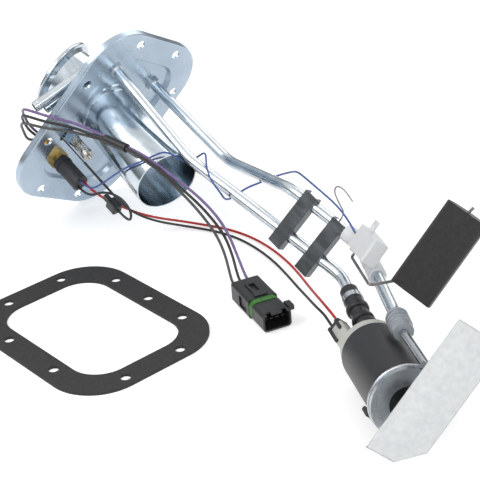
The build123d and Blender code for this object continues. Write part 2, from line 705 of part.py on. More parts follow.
def make_float():
    p1 = in_pivot(0, arm_drop[1], arm_drop[0])
    turn = math.radians(float_turn)
    chord_dir = pump_dir * math.cos(turn) - v_dir * math.sin(turn)
    away = strip_dir.cross(chord_dir)
    away = away if away.X > 0 else away * -1
    corner = Vector(*float_corner)
    middle = corner + chord_dir * (float_chord / 2)
    frame = Plane(origin=tuple(middle), x_dir=tuple(chord_dir), z_dir=tuple(strip_dir))
    sign = 1 if frame.y_dir.dot(away) > 0 else -1
    half = float_chord / 2
    section = make_face(
        Polyline((-half, sign * 7.0), (-half, 0), (half, 0), (half, sign * 7.0))
        + ThreePointArc((half, sign * 7.0), (0, sign * float_depth), (-half, sign * 7.0)))
    body = extrude(section, float_length)
    body = fillet(body.edges().filter_by(Axis.Z), 2.0)
    p2 = frame.from_local_coords(Vector(-half + 4.0, sign * 8.0, 3.0))
    p3 = frame.from_local_coords(Vector(0, sign * 9.0, float_length + 5.0))
    body = frame * body
    wire_points = [tuple(in_pivot(hub_end, 0, 0)), tuple(in_pivot(-3, 0, 0)), tuple(p1), tuple(p2), tuple(p3)]
    arm = rod(wire_points, arm_r, arm_bend_r)
    body -= rod([tuple(p1), tuple(p2), tuple(p3)], arm_r + slip, arm_bend_r)
    add("float_arm", arm)
    add("float", body)


def make_gasket():
    """Flat rubber gasket with the flange's hole pattern, lying beside the module."""
    outline = RectangleRounded(2 * flange_x, 2 * flange_y, flange_corner)
    rubber = outline - RectangleRounded(2 * gasket_opening[0], 2 * gasket_opening[1], gasket_opening_r)
    for x, y in bolt_holes:
        rubber -= Pos(-x, y) * Circle(bolt_hole_r)
    gasket = Pos(*gasket_at, 0) * Rot(0, 0, gasket_turn) * extrude(rubber, gasket_thick)
    loose["gasket"] = gasket


tilt = math.radians(lay_tilt)
roll = math.radians(lay_roll)
world_x = (-math.sin(tilt) * math.sin(roll), -math.sin(tilt) * math.cos(roll), -math.cos(tilt))
world_z = (-math.cos(tilt) * math.sin(roll), -math.cos(tilt) * math.cos(roll), math.sin(tilt))
lying_plane = Plane(origin=(0, 0, 0), x_dir=world_x, z_dir=world_z)
lying = Pos(*lay_shift) * lying_plane.location.inverse()


def laid(point):
    """A point of the module frame, as the module lies on the floor."""
    return lying_plane.to_local_coords(Vector(*point)) + Vector(*lay_shift)


def laid_direction(direction):
    return lying_plane.to_local_coords(Vector(*direction))


def corner_radii(points):
    """The largest arc that each corner's two runs allow."""
    radii = []
    for before, at, after in zip(points, points[1:], points[2:]):
        run_in, run_out = Vector(*at) - Vector(*before), Vector(*after) - Vector(*at)
        half_turn = math.radians(run_in.get_angle(run_out)) / 2
        radii.append(0.45 * min(run_in.length, run_out.length) / math.tan(half_turn))
    return radii


def cord(name, points, r):
    points = [tuple(p) for p in points]
    radii = corner_radii(points)
    path = FilletPolyline(*points, radius=radii)
    start = Plane(origin=path @ 0, z_dir=path % 0)
    loose[name] = sweep(start * Circle(r), path=path)
    print(name, "length", round(path.length, 1), "radii", [round(v, 1) for v in radii])
    print("   points", [tuple(round(v, 2) for v in p) for p in points])
    return path


def make_harness():
    """Three wires from the pass-through, over the flange's edge, to the connector."""
    x, y = bushing_at
    level = pad_depth + sheet + bushing_out + potting_out
    out = laid_direction((0, 0, 1))
    turn = math.radians(connector_turn)
    along = Vector(math.cos(turn), math.sin(turn), 0)
    across = Vector(-math.sin(turn), math.cos(turn), 0)
    rear = Vector(*connector_at, connector_height / 2)
    bundle = []
    for k, colour in enumerate(("grey", "black", "purple")):
        a, b = harness_ports[colour]
        start = laid((x + a, y + b, level))
        end = rear + across * (wire_pitch * (k - 1))
        points = [start, start + out * harness_exit, *harness_routes[colour], end - along * 10.0, end]
        cord(f"harness_{colour}", points, harness_r)
        bundle.append(points)
    axis = Vector(*sleeve_ends[1]) - Vector(*sleeve_ends[0])
    sleeve = frame_at(sleeve_ends[0], unit(axis)) * cylinder(sleeve_outer_r, axis.length)
    for points in bundle:
        points = [tuple(p) for p in points]
        sleeve -= rod(points, harness_r + slip, corner_radii(points))
    loose["harness_sleeve"] = sleeve


def make_connector():
    """Sealed four-way connector: body with its latch, green seal and front shroud."""
    w, h = connector_width, connector_height
    seat = Pos(*connector_at, h / 2) * Rot(0, 0, connector_turn) * Rot(0, 90, 0)
    body = extrude(RectangleRounded(h, w, 2.5), connector_body_length)
    body = fillet(body.faces().sort_by(Axis.Z)[0].edges(), 0.8)
    for k in (-1, 0, 1):
        body += block(h * 0.55, 1.4, 12.0, (-1.0, wire_pitch * k + wire_pitch / 2, 6.0))
    for side in (-1, 1):
        body -= block(h - 7, 2.4, 13.0, (0, side * w / 2, 22.0))
    latch = block(3.0, 9.0, 22.0, (-h / 2 - 0.2, 0, 20.0))
    latch += block(3.4, 11.0, 4.0, (-h / 2, 0, 30.0))
    top_cut = block(6.0, 20.0, 60.0, (-h / 2 - 4.0, 0, 20.0))
    body += latch - top_cut
    body -= block(2.0, 5.0, 12.0, (-h / 2, 0, 18.0))
    loose["connector_body"] = seat * body

    ring_outline = RectangleRounded(h - 0.6, w - 0.6, 5.0) - RectangleRounded(h - 6.0, w - 6.0, 3.0)
    seal = Pos(0, 0, connector_body_length) * extrude(ring_outline, seal_length)
    loose["connector_seal"] = seat * seal

    start = connector_body_length
    core = Pos(0, 0, start) * extrude(RectangleRounded(h - 6.1, w - 6.1, 2.9), seal_length)
    front = Pos(0, 0, start + seal_length) * extrude(RectangleRounded(h - 2.0, w - 1.0, 3.0), shroud_length)
    opening = extrude(RectangleRounded(h - 5.0, w - 4.0, 1.8), shroud_length)
    opening = Pos(0, 0, start + seal_length + 3.0) * opening
    shroud = core + (front - opening)
    for side in (-1, 1):
        shroud -= block(5.0, 4.0, 9.0, (-h / 2, side * 6.5, start + seal_length + shroud_length))
    ear = block(4.0, 5.0, 9.0, (-h / 2 + 3.0, w / 2 + 1.6, start + seal_length + shroud_length - 8.0))
    shroud += ear
    for k in range(4):
        pin = block(0.8, 2.8, 12.0, (0, (k - 1.5) * 5.0, start + seal_length + 8.5))
        shroud += pin
    loose["connector_shroud"] = seat * shroud


def make_leads():
    """Pump leads, sender lead and the lead with the suppressor."""
    x, y = bushing_at
    level = pad_depth - bushing_hex_height - boot_length + 3.0
    ports = [laid((x + a, y + b, level)) for a, b in lead_ports]
    plug_top = -tower_height - plug_height
    run_in = laid_direction(pump_dir) * 10.0
    run_out = laid_direction((0, 0, -1)) * 9.0
    entries = [laid(in_pump(tower_at[0] + a, tower_at[1] + 2.0, plug_top)) for a in (3.0, -3.0)]
    cord("pump_lead_red", [ports[0], ports[0] + run_out, *red_route, entries[0] - run_in, entries[0]], lead_r)

    strip = Pos(*vent_at, pad_depth - strip_length) * Rot(0, 0, strip_turn) * Pos(strip_side, 0, 0)
    foot = laid(tuple(strip.position))
    cord("pump_lead_black", [foot, foot + run_out, *black_route, entries[1] - run_in, entries[1]], lead_r)

    sender_entry = laid(in_pivot(12.0, 3.0, sender_u[0]))
    sender_points = [ports[1], ports[1] + run_out, *blue_route, sender_entry - run_in * 0.8, sender_entry]
    cord("sender_lead_blue", sender_points, sender_lead_r)

    turn = math.radians(filter_turn)
    facing = Vector(math.cos(turn), 0, -math.sin(turn))
    face = Vector(*filter_at) + facing * (filter_size[0] / 2)
    cord("filter_lead", [ports[2], ports[2] + run_out, *filter_route, face], lead_r)
    body = Rot(0, filter_turn, 0) * fillet(Box(*filter_size).edges(), 1.2)
    crimp = Rot(0, filter_turn, 0) * block(8.0, 4.0, 5.0, (-filter_size[0] / 2 - 3.0, 0, 0))
    loose["filter_block"] = Pos(*filter_at) * (body + crimp)


def make_tie():
    start = laid((supply_x - tube_r - channel_sheet / 2, channel_top_y, lower_channel_z))
    away = laid_direction((0, -1, 0)) * 8.0
    cord("tie_wire", [start, start + away, *tie_route], tie_wire_r)


make_flange()
make_filler()
make_tubes()
make_channels()
make_vent()
make_bushing()
make_pump()
make_plug()
make_cradle()
make_hose()
make_coupling()
make_strap()
make_strainer()
make_sender()
make_float()
make_gasket()
make_harness()
make_connector()
make_leads()
make_tie()

os.makedirs("parts", exist_ok=True)
for name, shape in nodes.items():
    loose[name] = lying * shape
for name, part in loose.items():
    export_step(part, f"parts/{name}.step")
    box = part.bounding_box()
    print(name, len(part.solids()), round(part.volume), [round(v, 1) for v in (*box.min, *box.max)])
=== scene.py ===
import bpy
import bmesh
import math
from mathutils import Matrix, Vector


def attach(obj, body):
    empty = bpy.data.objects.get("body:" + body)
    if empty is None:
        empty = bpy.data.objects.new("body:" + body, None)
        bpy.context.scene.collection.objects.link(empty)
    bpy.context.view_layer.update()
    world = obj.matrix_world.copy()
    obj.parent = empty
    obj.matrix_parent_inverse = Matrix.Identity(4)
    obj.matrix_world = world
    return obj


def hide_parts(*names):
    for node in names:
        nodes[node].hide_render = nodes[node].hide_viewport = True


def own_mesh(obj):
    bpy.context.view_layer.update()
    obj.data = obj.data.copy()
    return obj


# Fuel pump module lying on a pale floor with its loose gasket. Lengths in metres, lamp power in watts.

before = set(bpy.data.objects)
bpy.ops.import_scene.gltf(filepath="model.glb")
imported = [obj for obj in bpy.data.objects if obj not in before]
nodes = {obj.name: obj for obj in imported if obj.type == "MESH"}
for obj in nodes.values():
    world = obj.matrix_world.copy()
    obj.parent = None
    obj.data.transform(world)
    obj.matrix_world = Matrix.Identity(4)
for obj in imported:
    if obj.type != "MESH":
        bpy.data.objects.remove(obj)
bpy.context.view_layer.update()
print("frame loaded,", len(nodes), "nodes")


# Camera, as the photo was taken

cameraView = {
    "place": (0.763803, -0.572617, 0.570909),
    "right": (0.648455, 0.757325, -0.077236),
    "down": (0.312327, -0.357202, -0.880261),
    "forward": (-0.694232, 0.546686, -0.468162),
    "lens": 105.0,
    "sensor": 36.0,
    "near": 0.05,
    "far": 20.0,
}


def makeCamera():
    data = bpy.data.cameras.new("camera")
    data.lens = cameraView["lens"]
    data.sensor_width = cameraView["sensor"]
    data.clip_start = cameraView["near"]
    data.clip_end = cameraView["far"]
    camera = bpy.data.objects.new("camera", data)
    bpy.context.scene.collection.objects.link(camera)
    right, down, forward = (Vector(cameraView[k]) for k in ("right", "down", "forward"))
    turn = Matrix((right, -down, -forward)).transposed()
    camera.matrix_world = Matrix.Translation(cameraView["place"]) @ turn.to_4x4()
    bpy.context.scene.camera = camera


makeCamera()


def newPiece(name, bm, smooth=True):
    # puts a finished bmesh into the scene as one object, untransformed
    mesh = bpy.data.meshes.new(name)
    bm.to_mesh(mesh)
    bm.free()
    if smooth:
        mesh.shade_smooth()
    piece = bpy.data.objects.new(name, mesh)
    bpy.context.scene.collection.objects.link(piece)
    return piece


# Cords: each route's points are the ones its solid follows

cordWires = {
    "harnessGrey": {
        "node": "harness_grey", "slot": "grey_wire", "radius": 0.0012, "length": 0.340, "end": "connector",
        "route": [
            (-0.24405, 0.00791, 0.07387), (-0.25221, 0.00791, 0.07767), (-0.246, -0.006, 0.083),
            (-0.2375, -0.0135, 0.097), (-0.225, -0.022, 0.11), (-0.211, -0.0255, 0.116),
            (-0.2015, -0.0196, 0.1134), (-0.1945, -0.011, 0.11), (-0.1885, -0.001, 0.1068),
            (-0.1795, 0.008, 0.1032), (-0.169, 0.0146, 0.1004), (-0.158, 0.0186, 0.0993),
            (-0.131, 0.0224, 0.0965), (-0.116, 0.0235, 0.0946), (-0.1055, 0.027, 0.0893),
            (-0.0975, 0.0325, 0.0795), (-0.088, 0.037, 0.0695), (-0.0755, 0.0425, 0.0565),
            (-0.063, 0.0465, 0.0425), (-0.0515, 0.047, 0.0315), (-0.0395, 0.0435, 0.0205),
            (-0.027, 0.0365, 0.012), (-0.01642, 0.03057, 0.0085), (-0.00682, 0.02776, 0.0085)]},
    "harnessBlack": {
        "node": "harness_black", "slot": "black_wire", "radius": 0.0012, "length": 0.342, "end": "connector",
        "route": [
            (-0.24283, 0.00762, 0.07651), (-0.25099, 0.00762, 0.0803), (-0.2477, -0.0022, 0.091),
            (-0.24, -0.0105, 0.1045), (-0.228, -0.0183, 0.1156), (-0.2135, -0.022, 0.1207),
            (-0.204, -0.016, 0.1176), (-0.1965, -0.0082, 0.1138), (-0.19, 0.001, 0.1102),
            (-0.18, 0.0085, 0.1066), (-0.169, 0.013, 0.1034), (-0.1585, 0.0172, 0.1017),
            (-0.131, 0.021, 0.0988), (-0.1153, 0.0214, 0.0976), (-0.104, 0.0252, 0.0923),
            (-0.096, 0.032, 0.082), (-0.0855, 0.038, 0.0715), (-0.073, 0.045, 0.0585),
            (-0.061, 0.0505, 0.0445), (-0.0495, 0.0525, 0.032), (-0.0375, 0.049, 0.0205),
            (-0.0255, 0.0425, 0.012), (-0.0146, 0.03681, 0.0085), (-0.005, 0.034, 0.0085)]},
    "harnessPurple": {
        "node": "harness_purple", "slot": "purple", "radius": 0.0012, "length": 0.347, "end": "connector",
        "route": [
            (-0.24241, 0.01036, 0.07741), (-0.25057, 0.01036, 0.0812), (-0.25, 0.0003, 0.094),
            (-0.242, -0.008, 0.109), (-0.229, -0.016, 0.1203), (-0.2155, -0.0192, 0.125),
            (-0.2065, -0.013, 0.1215), (-0.199, -0.0054, 0.1175), (-0.192, 0.0026, 0.114),
            (-0.181, 0.01, 0.11), (-0.168, 0.0157, 0.1055), (-0.1575, 0.0203, 0.1019),
            (-0.131, 0.0238, 0.0988), (-0.117, 0.0257, 0.0966), (-0.106, 0.029, 0.0915),
            (-0.096, 0.0345, 0.083), (-0.085, 0.041, 0.0735), (-0.0725, 0.0485, 0.061),
            (-0.0605, 0.0545, 0.0465), (-0.049, 0.056, 0.033), (-0.037, 0.053, 0.0205),
            (-0.024, 0.048, 0.012), (-0.01277, 0.04305, 0.0085), (-0.00318, 0.04024, 0.0085)]},
    "pumpLeadRed": {
        "node": "pump_lead_red", "slot": "red_wire", "radius": 0.0011, "length": 0.385, "end": "object",
        "route": [
            (-0.19456, 0.01232, 0.05343), (-0.1864, 0.01232, 0.04963), (-0.178, 0.016, 0.043),
            (-0.174, 0.025, 0.034), (-0.17, 0.035, 0.026), (-0.164, 0.047, 0.017), (-0.155, 0.061, 0.01),
            (-0.144, 0.076, 0.005), (-0.127, 0.09, 0.0014), (-0.105, 0.099, 0.0012), (-0.079, 0.103, 0.0012),
            (-0.05, 0.101, 0.0012), (-0.02, 0.094, 0.0012), (0.008, 0.082, 0.004), (0.034, 0.067, 0.011),
            (0.06, 0.052, 0.019), (0.084, 0.0385, 0.026), (0.10491, 0.02932, 0.02769),
            (0.11356, 0.02446, 0.02899)]},
    "pumpLeadBlack": {
        "node": "pump_lead_black", "slot": "black_wire", "radius": 0.0011, "length": 0.386, "end": "object",
        "route": [
            (-0.18391, 0.01069, 0.07397), (-0.17575, 0.01069, 0.07018), (-0.1675, 0.0135, 0.0615),
            (-0.1645, 0.019, 0.0515), (-0.164, 0.026, 0.04), (-0.162, 0.034, 0.028), (-0.158, 0.044, 0.018),
            (-0.151, 0.057, 0.0095), (-0.141, 0.071, 0.004), (-0.127, 0.082, 0.0014), (-0.107, 0.09, 0.0012),
            (-0.083, 0.094, 0.0012), (-0.055, 0.092, 0.0012), (-0.027, 0.086, 0.0012), (0.0, 0.076, 0.0025),
            (0.025, 0.064, 0.007), (0.049, 0.052, 0.013), (0.072, 0.04, 0.019), (0.09, 0.032, 0.023),
            (0.10353, 0.02565, 0.02315), (0.11218, 0.02079, 0.02445)]},
    "senderLeadBlue": {
        "node": "sender_lead_blue", "slot": "blue_wire", "radius": 0.0008, "length": 0.412, "end": "object",
        "route": [
            (-0.19286, 0.00705, 0.05707), (-0.1847, 0.00705, 0.05328), (-0.1725, 0.0085, 0.053),
            (-0.1605, 0.013, 0.0615), (-0.147, 0.016, 0.072), (-0.1325, 0.0175, 0.082),
            (-0.1205, 0.0225, 0.0883), (-0.111, 0.0315, 0.094), (-0.106, 0.041, 0.097),
            (-0.0996, 0.0475, 0.092), (-0.096, 0.054, 0.0845), (-0.0935, 0.064, 0.0865),
            (-0.085, 0.067, 0.0935), (-0.0735, 0.059, 0.0935), (-0.062, 0.0495, 0.092),
            (-0.0485, 0.043, 0.087), (-0.0405, 0.045, 0.078), (-0.043, 0.051, 0.0685),
            (-0.046, 0.06, 0.0655), (-0.049, 0.07, 0.0655), (-0.049, 0.081, 0.067),
            (-0.0455, 0.0905, 0.0685), (-0.038, 0.097, 0.073), (-0.024, 0.098, 0.0805),
            (-0.007, 0.093, 0.0895), (0.008, 0.086, 0.097), (0.024, 0.08, 0.0985), (0.04, 0.079, 0.094),
            (0.058, 0.079, 0.0875), (0.073, 0.0765, 0.081), (0.08294, 0.07453, 0.07294),
            (0.08986, 0.07064, 0.07398)]},
    "filterLead": {
        "node": "filter_lead", "slot": "black_wire", "radius": 0.0011, "length": 0.101, "end": "fitting",
        "route": [
            (-0.19595, 0.00669, 0.05042), (-0.18779, 0.00669, 0.04663), (-0.176, 0.008, 0.0455),
            (-0.164, 0.012, 0.0515), (-0.15, 0.0145, 0.053), (-0.136, 0.0145, 0.0515),
            (-0.1255, 0.0142, 0.0435), (-0.1305, 0.014, 0.0317), (-0.14606, 0.014, 0.03896)]},
    "tieWire": {
        "node": "tie_wire", "slot": "grey_wire", "radius": 0.0006, "length": 0.0546, "end": "bare",
        "route": [
            (0.06179, 0.07829, 0.07355), (0.06464, 0.08255, 0.07969), (0.057, 0.0835, 0.086),
            (0.052, 0.0835, 0.095), (0.056, 0.0835, 0.101), (0.066, 0.0825, 0.1005), (0.076, 0.08, 0.095)]},
}
mainBody = "module"
cordForm = {"order": 3, "stepsEachPoint": 10, "roundness": 4}


def makeCord(name, facts):
    data = bpy.data.curves.new(name, "CURVE")
    data.dimensions = "3D"
    line = data.splines.new("NURBS")
    line.points.add(len(facts["route"]) - 1)
    for point, place in zip(line.points, facts["route"]):
        point.co = (*place, 1.0)
        point.radius = facts["radius"]  # the box of a curve grows by its points' radius
    line.order_u = cordForm["order"]
    line.use_endpoint_u = True
    line.resolution_u = cordForm["stepsEachPoint"]
    data.bevel_depth = 1.0  # times each point's radius
    data.bevel_resolution = cordForm["roundness"]
    data.use_fill_caps = True
    wire = bpy.data.objects.new(name, data)
    bpy.context.scene.collection.objects.link(wire)
    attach(wire, mainBody)
    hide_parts(facts["node"])
    return wire


wires = {name: makeCord(name, facts) for name, facts in cordWires.items()}
print("cords made")


# Shared effects

def newGroup(name, inputs, outputs):
    group = bpy.data.node_groups.new(name, "ShaderNodeTree")
    for label, kind, value in inputs:
        socket = group.interface.new_socket(name=label, in_out="INPUT", socket_type=kind)
        if value is not None:
            socket.default_value = value
    for label, kind in outputs:
        group.interface.new_socket(name=label, in_out="OUTPUT", socket_type=kind)
    return group, group.nodes.new("NodeGroupInput"), group.nodes.new("NodeGroupOutput")


def speckleGroup():
    # soft unevenness of a moulded or plated surface
    group, given, out = newGroup(
        "speckle",
        [("Scale", "NodeSocketFloat", 400.0), ("Detail", "NodeSocketFloat", 4.0),
         ("Height", "NodeSocketFloat", 0.1), ("Depth", "NodeSocketFloat", 0.0002)],
        [("Tone", "NodeSocketFloat"), ("Normal", "NodeSocketVector")])
    where = group.nodes.new("ShaderNodeTexCoord")
    noise = group.nodes.new("ShaderNodeTexNoise")
    bump = group.nodes.new("ShaderNodeBump")
    group.links.new(where.outputs["Object"], noise.inputs["Vector"])
    group.links.new(given.outputs["Scale"], noise.inputs["Scale"])
    group.links.new(given.outputs["Detail"], noise.inputs["Detail"])
    finishEffect(group, given, out, noise.outputs["Fac"], bump)
    return group


def brushGroup():
    # long marks left where a sheet was rolled or a tube drawn
    group, given, out = newGroup(
        "brush",
        [("Scale", "NodeSocketFloat", 60.0), ("Stretch", "NodeSocketVector", (1.0, 1.0, 30.0)),
         ("Detail", "NodeSocketFloat", 5.0), ("Height", "NodeSocketFloat", 0.1),
         ("Depth", "NodeSocketFloat", 0.0001)],
        [("Tone", "NodeSocketFloat"), ("Normal", "NodeSocketVector")])
    where = group.nodes.new("ShaderNodeTexCoord")
    stretch = group.nodes.new("ShaderNodeVectorMath")
    stretch.operation = "MULTIPLY"
    noise = group.nodes.new("ShaderNodeTexNoise")
    bump = group.nodes.new("ShaderNodeBump")
    group.links.new(where.outputs["Object"], stretch.inputs[0])
    group.links.new(given.outputs["Stretch"], stretch.inputs[1])
    group.links.new(stretch.outputs["Vector"], noise.inputs["Vector"])
    group.links.new(given.outputs["Scale"], noise.inputs["Scale"])
    group.links.new(given.outputs["Detail"], noise.inputs["Detail"])
    finishEffect(group, given, out, noise.outputs["Fac"], bump)
    return group


def finishEffect(group, given, out, tone, bump):
    # the part both effects share: the noise as a tone and as a bumped normal
    group.links.new(tone, bump.inputs["Height"])
    group.links.new(given.outputs["Height"], bump.inputs["Strength"])
    group.links.new(given.outputs["Depth"], bump.inputs["Distance"])
    group.links.new(tone, out.inputs["Tone"])
    group.links.new(bump.outputs["Normal"], out.inputs["Normal"])


effects = {"speckle": speckleGroup(), "brush": brushGroup()}
print("shared effects made")


# Finishes. low and high are the two colours that a surface wavers between.

finishes = {
    "platedSheet": {
        "low": (0.40, 0.48, 0.57), "high": (0.50, 0.59, 0.68), "metal": 0.9, "rough": (0.22, 0.34),
        "effect": "speckle", "values": {"Scale": 22.0, "Detail": 7.0, "Height": 0.12, "Depth": 0.0004},
        "nodes": ["flange_plate"]},
    "polishedTube": {
        "low": (0.50, 0.56, 0.61), "high": (0.64, 0.70, 0.75), "metal": 1.0, "rough": (0.12, 0.22),
        "effect": "brush",
        "values": {"Scale": 18.0, "Stretch": (2.0, 9.0, 3.0), "Height": 0.12, "Depth": 0.0003},
        "nodes": ["filler_tube", "neck_collar"]},
    "platedTube": {
        "low": (0.56, 0.61, 0.65), "high": (0.68, 0.73, 0.77), "metal": 1.0, "rough": (0.15, 0.25),
        "effect": "speckle", "values": {"Scale": 60.0, "Detail": 5.0, "Height": 0.12, "Depth": 0.0002},
        "nodes": ["supply_tube", "return_tube", "supply_ferrule", "return_ferrule"]},
    "bracketSteel": {
        "low": (0.105, 0.11, 0.115), "high": (0.145, 0.155, 0.165), "metal": 0.95, "rough": (0.16, 0.26),
        "effect": "brush",
        "values": {"Scale": 45.0, "Stretch": (1.0, 6.0, 1.0), "Height": 0.1, "Depth": 0.0002},
        "nodes": ["upper_channel", "lower_channel"]},
    "cradleSteel": {
        "low": (0.44, 0.46, 0.49), "high": (0.54, 0.57, 0.60), "metal": 0.95, "rough": (0.2, 0.3),
        "effect": "speckle", "values": {"Scale": 70.0, "Height": 0.1, "Depth": 0.0002},
        "nodes": ["pump_cradle", "hose_clamps", "pump_strap", "pump_case"]},
    "floatWire": {
        "low": (0.16, 0.15, 0.145), "high": (0.26, 0.25, 0.24), "metal": 1.0, "rough": (0.3, 0.42),
        "effect": "speckle", "values": {"Scale": 300.0, "Height": 0.1, "Depth": 0.0002},
        "nodes": ["float_arm"]},
    "valveSteel": {
        "low": (0.30, 0.28, 0.25), "high": (0.62, 0.61, 0.58), "metal": 1.0, "rough": (0.18, 0.36),
        "effect": "speckle", "values": {"Scale": 500.0, "Height": 0.3, "Depth": 0.0002},
        "nodes": ["vent_base", "vent_cage", "vent_plunger"]},
    "agedBrass": {
        "low": (0.30, 0.17, 0.04), "high": (0.62, 0.40, 0.12), "metal": 1.0, "rough": (0.25, 0.45),
        "effect": "speckle", "values": {"Scale": 260.0, "Detail": 6.0, "Height": 0.3, "Depth": 0.0003},
        "nodes": ["pass_bushing", "pass_nut", "pump_terminals"]},
    "rotorIron": {
        "low": (0.10, 0.09, 0.085), "high": (0.2, 0.18, 0.17), "metal": 0.8, "rough": (0.4, 0.6),
        "effect": "speckle", "values": {"Scale": 300.0, "Height": 0.2, "Depth": 0.0003},
        "nodes": ["pump_rotor", "pump_magnets"]},
    "capPlastic": {
        "low": (0.60, 0.60, 0.55), "high": (0.72, 0.72, 0.67), "metal": 0.0, "rough": (0.38, 0.5),
        "effect": "speckle", "values": {"Scale": 700.0, "Height": 0.15, "Depth": 0.0002},
        "nodes": ["pump_cap", "pump_bearing_plate"]},
    "inletPlastic": {
        "low": (0.008, 0.008, 0.008), "high": (0.018, 0.018, 0.018), "metal": 0.0, "rough": (0.4, 0.55),
        "effect": "speckle", "values": {"Scale": 700.0, "Height": 0.15, "Depth": 0.0002},
        "nodes": ["pump_inlet_cover"]},
    "domePlastic": {
        "low": (0.20, 0.33, 0.47), "high": (0.38, 0.54, 0.70), "metal": 0.0, "rough": (0.2, 0.35),
        "effect": "speckle", "values": {"Scale": 400.0, "Height": 0.15, "Depth": 0.0002},
        "nodes": ["vent_cap"]},
    "softSleeve": {
        "low": (0.014, 0.014, 0.015), "high": (0.024, 0.024, 0.025), "metal": 0.0, "rough": (0.36, 0.46),
        "effect": "speckle", "values": {"Scale": 900.0, "Detail": 3.0, "Height": 0.2, "Depth": 0.0003},
        "nodes": ["pump_sleeve", "pump_hose"]},
    "bootRubber": {
        "low": (0.026, 0.027, 0.031), "high": (0.045, 0.047, 0.053), "metal": 0.0, "rough": (0.5, 0.65),
        "effect": "speckle", "values": {"Scale": 600.0, "Height": 0.25, "Depth": 0.0003},
        "nodes": ["pass_boot", "pass_core", "vent_strip"]},
    "blackPlastic": {
        "low": (0.011, 0.011, 0.012), "high": (0.024, 0.024, 0.025), "metal": 0.0, "rough": (0.3, 0.45),
        "effect": "speckle", "values": {"Scale": 1200.0, "Height": 0.15, "Depth": 0.0002},
        "nodes": ["pump_plug", "filter_block", "connector_body", "connector_shroud", "harness_sleeve"]},
    "lockPlastic": {
        "low": (0.02, 0.06, 0.28), "high": (0.04, 0.10, 0.38), "metal": 0.0, "rough": (0.3, 0.4),
        "effect": "speckle", "values": {"Scale": 900.0, "Height": 0.1, "Depth": 0.0002},
        "nodes": ["plug_lock"]},
    "greenSeal": {
        "low": (0.028, 0.14, 0.014), "high": (0.06, 0.24, 0.03), "metal": 0.0, "rough": (0.38, 0.5),
        "effect": "speckle", "values": {"Scale": 500.0, "Height": 0.2, "Depth": 0.0003},
        "nodes": ["connector_seal"]},
    "couplingPlastic": {
        "low": (0.30, 0.33, 0.36), "high": (0.37, 0.40, 0.43), "metal": 0.0, "rough": (0.25, 0.35),
        "effect": "speckle", "values": {"Scale": 200.0, "Height": 0.1, "Depth": 0.0002},
        "nodes": ["return_coupling"]},
    "neckPlastic": {
        "low": (0.16, 0.165, 0.17), "high": (0.24, 0.245, 0.25), "metal": 0.0, "rough": (0.4, 0.5),
        "effect": "speckle", "values": {"Scale": 500.0, "Height": 0.2, "Depth": 0.0003},
        "nodes": ["strainer_neck"]},
    "hubPlastic": {
        "low": (0.62, 0.64, 0.66), "high": (0.74, 0.75, 0.76), "metal": 0.0, "rough": (0.35, 0.45),
        "effect": "speckle", "values": {"Scale": 600.0, "Height": 0.1, "Depth": 0.0002},
        "nodes": ["sender_hub"]},
    "cardBoard": {
        "low": (0.50, 0.46, 0.32), "high": (0.62, 0.58, 0.42), "metal": 0.0, "rough": (0.45, 0.6),
        "effect": "speckle", "values": {"Scale": 500.0, "Height": 0.1, "Depth": 0.0002},
        "nodes": ["sender_card"]},
    "foamFloat": {
        "low": (0.005, 0.0045, 0.004), "high": (0.012, 0.0105, 0.0095), "metal": 0.0, "rough": (0.38, 0.5),
        "effect": "speckle", "values": {"Scale": 420.0, "Detail": 8.0, "Height": 0.2, "Depth": 0.0003},
        "nodes": ["float"]},
    "gasketRubber": {
        "low": (0.020, 0.020, 0.020), "high": (0.042, 0.042, 0.042), "metal": 0.0, "rough": (0.7, 0.85),
        "effect": "speckle", "values": {"Scale": 350.0, "Detail": 9.0, "Height": 0.5, "Depth": 0.0004},
        "nodes": ["gasket"]},
    "purpleWire": {
        "low": (0.17, 0.11, 0.26), "high": (0.26, 0.17, 0.38), "metal": 0.0, "rough": (0.35, 0.5),
        "effect": "speckle", "values": {"Scale": 300.0, "Height": 0.15, "Depth": 0.0002},
        "wires": ["harnessPurple"]},
    "blackWire": {
        "low": (0.010, 0.010, 0.010), "high": (0.024, 0.024, 0.024), "metal": 0.0, "rough": (0.32, 0.48),
        "effect": "speckle", "values": {"Scale": 300.0, "Height": 0.15, "Depth": 0.0002},
        "wires": ["harnessBlack", "pumpLeadBlack", "filterLead"]},
    "greyWire": {
        "low": (0.055, 0.052, 0.050), "high": (0.10, 0.096, 0.092), "metal": 0.0, "rough": (0.35, 0.5),
        "effect": "speckle", "values": {"Scale": 300.0, "Height": 0.15, "Depth": 0.0002},
        "wires": ["harnessGrey"]},
    "tieSteel": {
        "low": (0.20, 0.20, 0.20), "high": (0.34, 0.34, 0.34), "metal": 0.6, "rough": (0.3, 0.45),
        "effect": "speckle", "values": {"Scale": 300.0, "Height": 0.15, "Depth": 0.0002},
        "wires": ["tieWire"]},
    "redWire": {
        "low": (0.46, 0.010, 0.008), "high": (0.66, 0.030, 0.022), "metal": 0.0, "rough": (0.32, 0.45),
        "effect": "speckle", "values": {"Scale": 300.0, "Height": 0.15, "Depth": 0.0002},
        "wires": ["pumpLeadRed"]},
    "blueWire": {
        "low": (0.030, 0.070, 0.26), "high": (0.07, 0.13, 0.40), "metal": 0.0, "rough": (0.32, 0.45),
        "effect": "speckle", "values": {"Scale": 300.0, "Height": 0.15, "Depth": 0.0002},
        "wires": ["senderLeadBlue"]},
}


noiseReach = (0.35, 0.65)  # the part of its range that noise mostly stays in
wholeReach = (0.0, 1.0)


